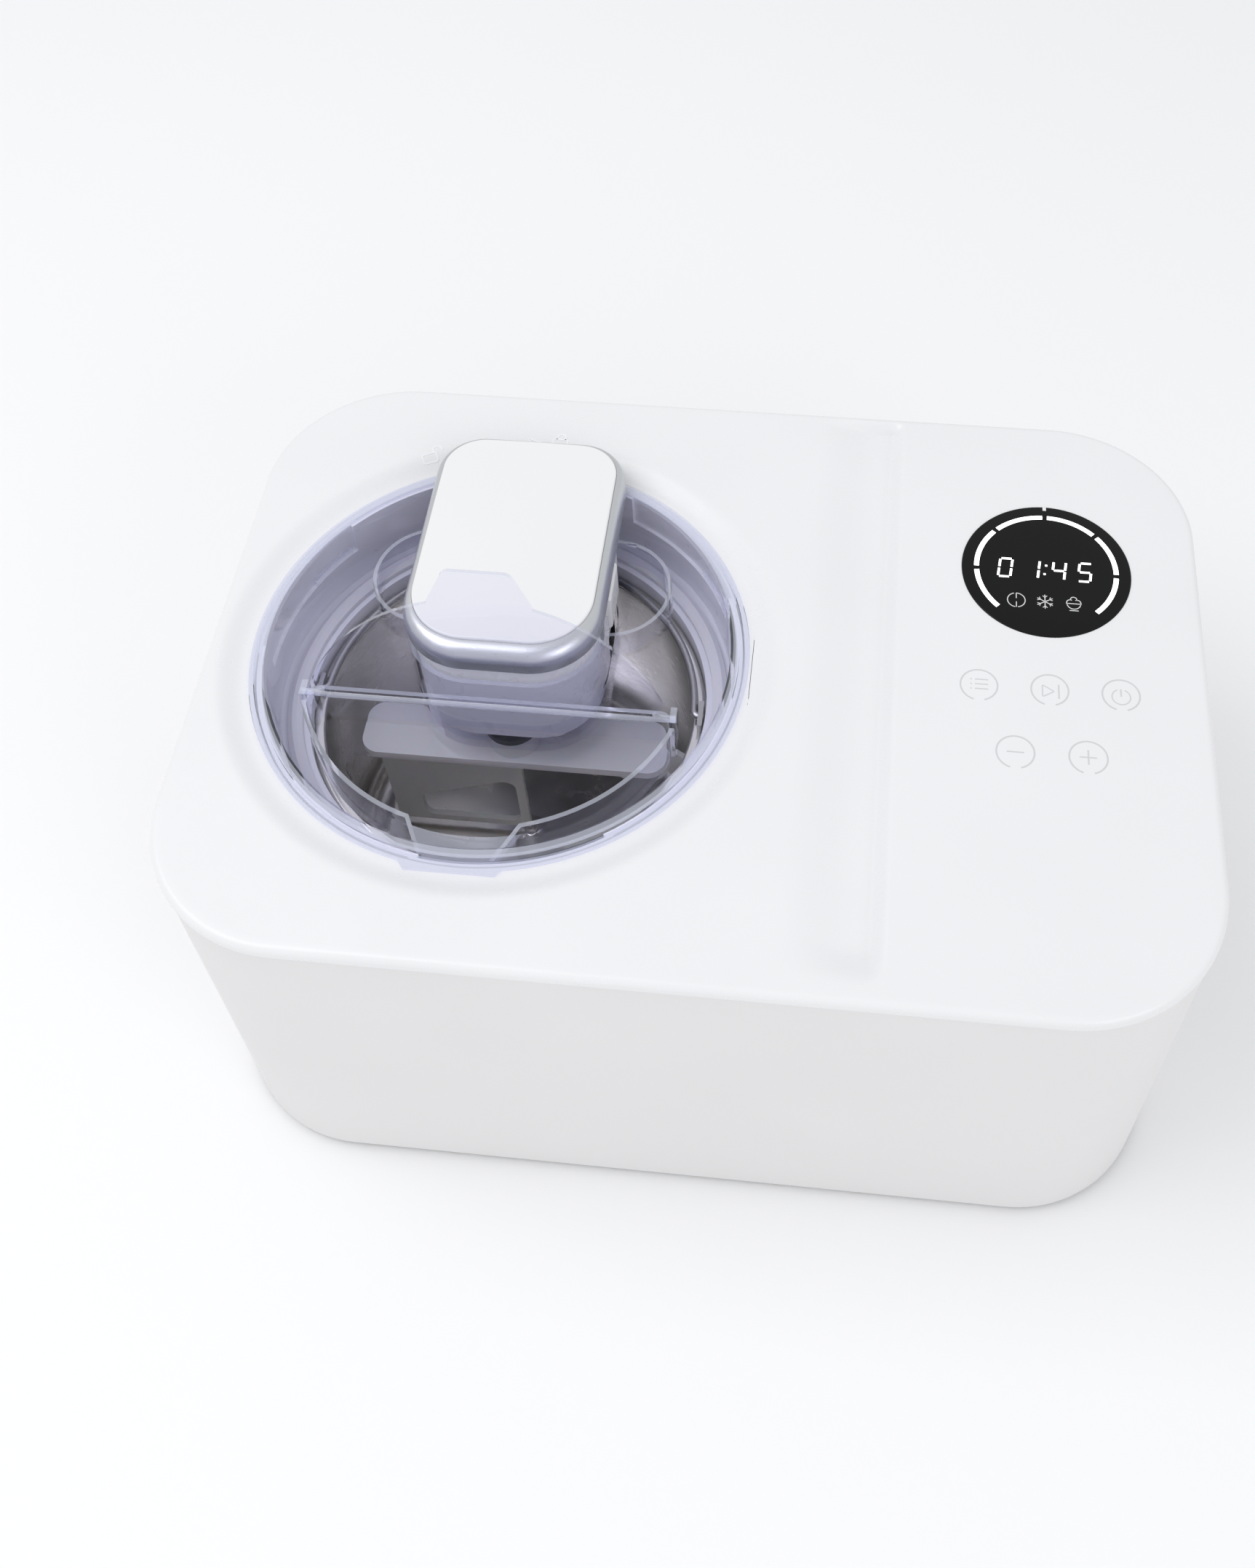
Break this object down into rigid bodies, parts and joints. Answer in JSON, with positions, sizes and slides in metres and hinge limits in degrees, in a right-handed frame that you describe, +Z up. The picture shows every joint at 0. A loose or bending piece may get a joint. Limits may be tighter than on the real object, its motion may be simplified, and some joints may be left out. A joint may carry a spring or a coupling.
{
  "type": "ice cream maker",
  "caption": "White countertop self-cooling ice cream maker with round display, touch keys, removable metal bowl, clear locking lid with hinged chute flap, paddle and clip-on motor unit.",
  "frame": {"origin": "on the table, under the middle of the casing's footprint", "axes": "+X towards the control panel, along the casing's width; -Y is the front; +Z up"},
  "size_m": [0.3918, 0.2768, 0.2397],
  "materials": {
    "casing_white": "moulded ABS, satin white",
    "cover_white": "moulded ABS, satin white",
    "collar_white": "moulded ABS, white",
    "base_grey": "moulded polypropylene",
    "foot_rubber": "moulded rubber",
    "steel": "drawn and zinc-plated steel",
    "contact_brass": "stamped brass",
    "well_aluminium": "deep-drawn aluminium",
    "copper": "drawn copper tube",
    "foam": "rigid foam",
    "compressor_black": "black painted steel",
    "fin_aluminium": "aluminium fins",
    "dark_plastic": "moulded dark plastic",
    "board_green": "glass-fibre circuit board",
    "display_glass": "black glossy window",
    "bowl_metal": "anodised aluminium, brushed inside",
    "seal_silicone": "moulded silicone",
    "lid_clear": "clear moulded styrene acrylonitrile",
    "paddle_plastic": "milky polypropylene",
    "frame_silver": "satin silver paint",
    "panel_white": "glossy white ABS",
    "unit_white": "white ABS",
    "motor_steel": "plated steel can",
    "gear_nylon": "moulded acetal"
  },
  "bodies": {
    "housing": {"body_shell": "casing_white", "base_plate": "base_grey", "feet": "foot_rubber", "base_screws": "steel", "top_cover": "cover_white", "well_collar": "collar_white", "supply_contacts": "contact_brass", "cooling_well": "well_aluminium", "evaporator_coil": "copper", "foam_jacket": "foam", "well_stand": "base_grey", "compressor": "compressor_black", "compressor_grommets": "foot_rubber", "condenser": "fin_aluminium", "fan_shroud": "dark_plastic", "fan_motor": "dark_plastic", "filter_drier": "copper", "discharge_tube": "copper", "suction_tube": "copper", "power_board": "board_green", "cord_inlet": "foot_rubber", "control_board": "board_green", "board_posts": "base_grey", "display_module": "dark_plastic", "display_glass": "display_glass", "touch_springs": "steel"},
    "fan": {"fan_blades": "dark_plastic"},
    "bowl_set": {"bowl": "bowl_metal", "bail_lugs": "steel", "bail_handle": "steel"},
    "seal": {"lid_seal": "seal_silicone"},
    "lid_set": {"lid": "lid_clear", "lid_contacts": "contact_brass", "paddle_bushing": "dark_plastic"},
    "flap_set": {"flap": "lid_clear"},
    "paddle_set": {"paddle": "paddle_plastic"},
    "motor_unit": {"motor_frame": "frame_silver", "motor_top_panel": "panel_white", "motor_lower_case": "unit_white", "gear_plate_middle": "steel", "gear_plate_top": "steel", "drive_motor": "motor_steel", "shaft_bearings": "contact_brass", "idler_axle": "steel", "latch_guides": "dark_plastic", "motor_contacts": "contact_brass", "unit_screws": "steel"},
    "output": {"output_shaft": "steel", "output_gear": "gear_nylon"},
    "idler": {"idler_gear": "gear_nylon"},
    "pinion": {"motor_pinion": "contact_brass"},
    "left_latch": {"latch_left": "unit_white", "latch_spring_left": "steel"},
    "right_latch": {"latch_right": "unit_white", "latch_spring_right": "steel"}
  },
  "joints": [
    {"name": "bowl_lift", "type": "slide", "parent": "housing", "child": "bowl_set", "axis": [0, 0, 1], "range_m": [0, 0.12]},
    {"name": "lid_lift", "type": "slide", "parent": "bowl_set", "child": "seal", "axis": [0, 0, 1], "range_m": [0, 0.11]},
    {"name": "lid_twist", "type": "hinge", "parent": "seal", "child": "lid_set", "pos_m": [-0.08, 0, 0.153], "axis": [0, 0, 1], "range_deg": [0, 25]},
    {"name": "flap_swing", "type": "hinge", "parent": "lid_set", "child": "flap_set", "pos_m": [-0.0815, -0.0232, 0.175], "axis": [1, 0, 0], "range_deg": [0, 103]},
    {"name": "paddle_spin", "type": "hinge", "parent": "lid_set", "child": "paddle_set", "pos_m": [-0.08, 0, 0.132], "axis": [0, 0, 1], "continuous": true},
    {"name": "motor_lift", "type": "slide", "parent": "lid_set", "child": "motor_unit", "axis": [0, 0, 1], "range_m": [0, 0.016]},
    {"name": "output_spin", "type": "hinge", "parent": "motor_unit", "child": "output", "pos_m": [-0.08, 0, 0.14], "axis": [0, 0, 1], "continuous": true},
    {"name": "idler_spin", "type": "hinge", "parent": "motor_unit", "child": "idler", "pos_m": [-0.08, 0.0144, 0.15], "axis": [0, 0, 1], "continuous": true},
    {"name": "pinion_spin", "type": "hinge", "parent": "motor_unit", "child": "pinion", "pos_m": [-0.08, 0.0368, 0.155], "axis": [0, 0, 1], "continuous": true},
    {"name": "latch_left_press", "type": "slide", "parent": "motor_unit", "child": "left_latch", "axis": [1, 0, 0], "range_m": [0, 0.0024], "stiffness_N_per_m": 800, "springref_m": -0.002, "deforming": ["latch_spring_left"]},
    {"name": "latch_right_press", "type": "slide", "parent": "motor_unit", "child": "right_latch", "axis": [-1, 0, 0], "range_m": [0, 0.0024], "stiffness_N_per_m": 800, "springref_m": -0.002, "deforming": ["latch_spring_right"]},
    {"name": "fan_spin", "type": "hinge", "parent": "housing", "child": "fan", "pos_m": [0.146, 0, 0.071], "axis": [1, 0, 0], "continuous": true}
  ],
  "couplings": [
    {"joint": "output_spin", "follows": "paddle_spin", "ratio": 1},
    {"joint": "idler_spin", "follows": "paddle_spin", "ratio": -2},
    {"joint": "pinion_spin", "follows": "paddle_spin", "ratio": 7.3333}
  ]
}
